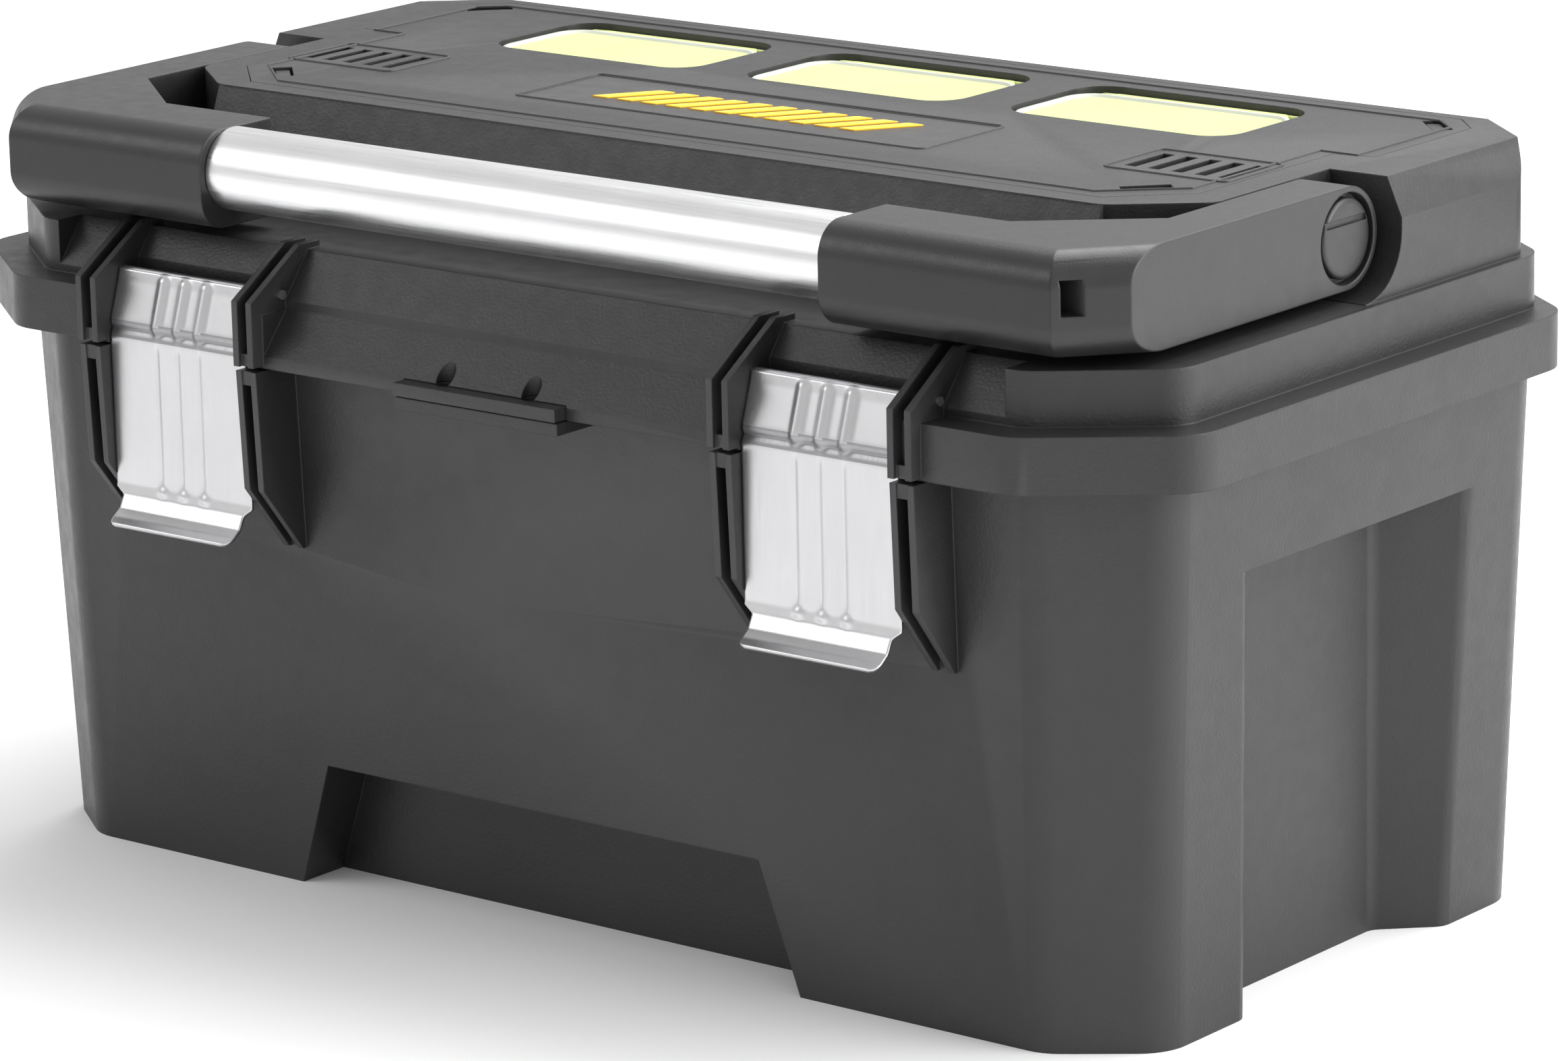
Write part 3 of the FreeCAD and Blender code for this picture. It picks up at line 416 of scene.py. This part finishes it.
def make_latch_plate(side_name):
    """The pressed plate: a grid of points across its middle line, thickened into a sheet."""
    node = f"latch_plate_{side_name}"
    low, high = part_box(node)
    middle = (low.x + high.x) / 2
    half = (high.x - low.x) / 2
    rows = along_profile(latch_profile(node), 0.7 * MM)
    bend_at = next(d for p, d in rows if p.z < low.z + LATCH_BEND)
    foot_at = next(d for p, d in rows if p.z < low.z + LATCH_FOOT)
    shape = bmesh.new()
    grid = []
    for index, (point, down) in enumerate(rows):
        ahead = rows[min(index + 1, len(rows) - 1)][0] - rows[max(index - 1, 0)][0]
        out = Vector((0, ahead.z, -ahead.y)).normalized()
        inset = 1.0 - 0.11 * min(1.0, max(0.0, (down - foot_at) / (2.5 * MM)))
        tip = max(0.0, (down - rows[-1][1] + 4 * MM) / (4 * MM))
        inset -= 0.10 * (1 - math.sqrt(max(0.0, 1 - tip ** 2)))
        line = []
        for column in range(LATCH_COLUMNS + 1):
            across = half * inset * (2 * column / LATCH_COLUMNS - 1)
            place = point + out * pressed_relief(across, down, bend_at, foot_at)
            line.append(shape.verts.new((middle + across, place.y, place.z)))
        grid.append(line)
    for upper, lower in zip(grid, grid[1:]):
        for column in range(LATCH_COLUMNS):
            shape.faces.new((upper[column], upper[column + 1], lower[column + 1], lower[column]))
    mesh = bpy.data.meshes.new(f"{node}_pressed")
    shape.to_mesh(mesh)
    shape.free()
    piece = new_piece(f"{node}_pressed", mesh, node)
    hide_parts(node)
    # The faces along the fold get the darker steel: painted shade in the fold.
    mesh.materials.append(MATERIALS["latch_fold_shade"])
    for face in mesh.polygons:
        face.material_index = int(abs(face.center.z - low.z - LATCH_BEND) < FOLD_SHADE_REACH)
    sheet = piece.modifiers.new("sheet", "SOLIDIFY")
    sheet.thickness = LATCH_SHEET
    sheet.offset = 0.0
    mesh.shade_smooth()
    return piece


# ---------------------------------------------------------------- turned, swept and raised details

def finish_mesh(name, shape):
    mesh = bpy.data.meshes.new(name)
    bmesh.ops.recalc_face_normals(shape, faces=shape.faces)
    shape.to_mesh(mesh)
    shape.free()
    return mesh


def turned_mesh(name, profile, centre, steps=64):
    """A solid turned about a line along X: profile lists (x, radius), centre is the line's (y, z)."""
    shape = bmesh.new()
    rings = []
    for x, radius in profile:
        ring = []
        for step in range(steps):
            turn = 2 * math.pi * step / steps
            place = (x, centre[0] + radius * math.cos(turn), centre[1] + radius * math.sin(turn))
            ring.append(shape.verts.new(place))
        rings.append(ring)
    for first, second in zip(rings, rings[1:]):
        for step in range(steps):
            after = (step + 1) % steps
            shape.faces.new((first[step], first[after], second[after], second[step]))
    shape.faces.new(rings[0])
    shape.faces.new(rings[-1])
    return finish_mesh(name, shape)


def block_mesh(name, low, high):
    shape = bmesh.new()
    bmesh.ops.create_cube(shape, size=1.0)
    for vertex in shape.verts:
        vertex.co = [(a + b) / 2 + c * (b - a) for a, b, c in zip(low, high, vertex.co)]
    return finish_mesh(name, shape)


def cut_away(piece, cutter_mesh):
    """Takes the cutter's volume out of the piece."""
    cutter = bpy.data.objects.new("cutter", cutter_mesh)
    bpy.context.collection.objects.link(cutter)
    difference = piece.modifiers.new("cut", "BOOLEAN")
    difference.object = cutter
    bpy.context.view_layer.update()
    whole = bpy.data.meshes.new_from_object(piece.evaluated_get(bpy.context.evaluated_depsgraph_get()))
    piece.modifiers.remove(difference)
    piece.data = whole
    bpy.data.objects.remove(cutter)


def make_pivot_cap(side_name):
    """The pin with its round cap, which stands in a dark ring groove and has a bar groove near its top."""
    node = f"pivot_pin_{side_name}"
    side = SIDES[side_name]
    low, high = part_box(node)
    centre = ((low.y + high.y) / 2, (low.z + high.z) / 2)
    face = high.x if side > 0 else -low.x
    tip = low.x if side > 0 else -high.x
    radius = (high.z - low.z) / 2 - 1.5 * MM
    shaft = 7.5 * MM
    profile = [(tip, shaft), (face - 3.6 * MM, shaft), (face - 3.6 * MM, radius),
               (face - 1.1 * MM, radius), (face - 0.5 * MM, radius - 0.25 * MM),
               (face - 0.1 * MM, radius - 0.9 * MM), (face, radius - 2.0 * MM), (face, radius * 0.4)]
    mesh = turned_mesh(f"{node}_cap", [(side * x, r) for x, r in profile], centre)
    piece = new_piece(f"{node}_cap", mesh, node)
    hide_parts(node)
    near, far = sorted((side * (face - 1.2 * MM), side * (face + MM)))
    half_length = 11 * MM
    groove_low = (near, centre[0] - half_length, centre[1] + 4.4 * MM)
    groove_high = (far, centre[0] + half_length, centre[1] + 6.6 * MM)
    cut_away(piece, block_mesh("groove", groove_low, groove_high))
    shade(piece.data, 40)
    return piece


def rounded_loop(low, high, radius, steps=6):
    """Points round a rectangle with round corners, anticlockwise from above."""
    corners = ((high[0] - radius, low[1] + radius), (high[0] - radius, high[1] - radius),
               (low[0] + radius, high[1] - radius), (low[0] + radius, low[1] + radius))
    points = []
    for quarter, (x, y) in enumerate(corners):
        for step in range(steps + 1):
            turn = math.pi / 2 * (quarter - 1 + step / steps)
            points.append(Vector((x + radius * math.cos(turn), y + radius * math.sin(turn), 0)))
    return points


def swept_ring(name, loop, height, section):
    """A closed strip along a level loop: section lists (outwards, up) points round its cross-section."""
    shape = bmesh.new()
    rings = []
    count = len(loop)
    for index, point in enumerate(loop):
        along = (loop[(index + 1) % count] - loop[index - 1]).normalized()
        out = Vector((along.y, -along.x, 0))
        places = [point + out * outwards + Vector((0, 0, height + up)) for outwards, up in section]
        rings.append([shape.verts.new(place) for place in places])
    for index in range(count):
        here, there = rings[index - 1], rings[index]
        for corner in range(len(section)):
            shape.faces.new((here[corner - 1], here[corner], there[corner], there[corner - 1]))
    return finish_mesh(name, shape)


def ridge(width, height):
    """A low ridge with sloping sides, sunk a little into what it stands on."""
    half = width / 2
    return [(-half, -0.2 * MM), (half, -0.2 * MM), (half * 0.55, height), (-half * 0.55, height)]


def make_frame_lines():
    """The thin raised lines round the name plate and round each set of vents."""
    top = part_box("top_panel")[1].z
    label_low, label_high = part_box("label_plate")
    border = 1.6 * MM
    frames = {"label_frame": (label_low.x - border, label_low.y - border, label_high.x + border,
                              label_high.y + border)}
    for side_name, side in SIDES.items():
        near, far = sorted((side * VENT_INNER, side * VENT_OUTER))
        frames[f"vent_frame_{side_name}"] = (near, VENT_FRONT, far, VENT_BACK)
    for name, (x0, y0, x1, y1) in frames.items():
        loop = rounded_loop((x0, y0), (x1, y1), 3.0 * MM)
        mesh = swept_ring(name, loop, top, ridge(1.3 * MM, FRAME_LINE_HEIGHT))
        new_piece(name, mesh, "top_panel")


def make_panel_line():
    """The thin raised line that runs round the top panel just inside its edge."""
    low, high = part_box("top_panel")
    inset = 6 * MM
    wide, narrow = high.x - inset, high.x - 20 * MM
    step = low.y + 96.5 * MM
    right = [(narrow - 23 * MM, low.y + inset), (narrow, low.y + 26 * MM), (narrow, step), (wide, step),
             (wide, high.y - 14 * MM), (wide - 9 * MM, high.y - inset)]
    corners = right + [(-x, y) for x, y in reversed(right)]
    loop = [Vector((x, y, 0)) for x, y in corners]
    mesh = swept_ring("panel_line", loop, high.z, ridge(1.2 * MM, FRAME_LINE_HEIGHT))
    new_piece("panel_line", mesh, "top_panel")


def make_cover_rims():
    """The pale bevelled rim round each organiser cover."""
    for name in COLUMNS:
        node = f"cover_{name}"
        low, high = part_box(node)
        inset = 1.6 * MM
        back = low.y + 46 * MM
        loop = rounded_loop((low.x + inset, low.y + inset), (high.x - inset, back), 9.8 * MM)
        section = [(-1.7 * MM, -0.4 * MM), (1.4 * MM, -0.4 * MM), (1.4 * MM, 0.25 * MM),
                   (0.5 * MM, 0.9 * MM), (-0.7 * MM, 0.9 * MM)]
        mesh = swept_ring(f"{node}_rim", loop, high.z, section)
        shade(mesh, 50)
        new_piece(f"{node}_rim", mesh, node, MATERIALS["cover_rim"])


def make_label_bars():
    """A plain pattern of slanted raised bars on the name plate."""
    low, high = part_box("label_plate")
    middle = (low.y + high.y) / 2
    half_depth = 9.5 * MM
    half = 3.1 * MM
    lean = 7 * MM
    count, pitch = 11, 10.5
    shape = bmesh.new()
    for index in range(count):
        centre = (index - (count - 1) / 2) * pitch * MM
        corners = [(centre - half - lean, middle - half_depth), (centre + half - lean, middle - half_depth),
                   (centre + half + lean, middle + half_depth), (centre - half + lean, middle + half_depth)]
        foot = [shape.verts.new((x, y, high.z - 0.1 * MM)) for x, y in corners]
        head = [shape.verts.new((x, y, high.z + 0.4 * MM)) for x, y in corners]
        shape.faces.new(head)
        shape.faces.new(foot)
        for corner in range(4):
            shape.faces.new((foot[corner - 1], foot[corner], head[corner], head[corner - 1]))
    new_piece("label_bars", finish_mesh("label_bars", shape), "label_plate", MATERIALS["amber"])


# ---------------------------------------------------------------- assembly

def make_pieces():
    for node, width in ROUNDING.items():
        rounded_copy(node, width * MM)
    for side_name in SIDES:
        make_latch_plate(side_name)
        make_pivot_cap(side_name)
    make_frame_lines()
    make_panel_line()
    make_cover_rims()
    make_label_bars()


def paint_plain_nodes():
    for node, thing in frame["nodes"].items():
        thing.data.materials.clear()
        thing.data.materials.append(MATERIALS[SLOT_OF[node]])


MATERIALS = make_materials()
add_camera()
add_studio()
add_floor()
paint_plain_nodes()
make_pieces()
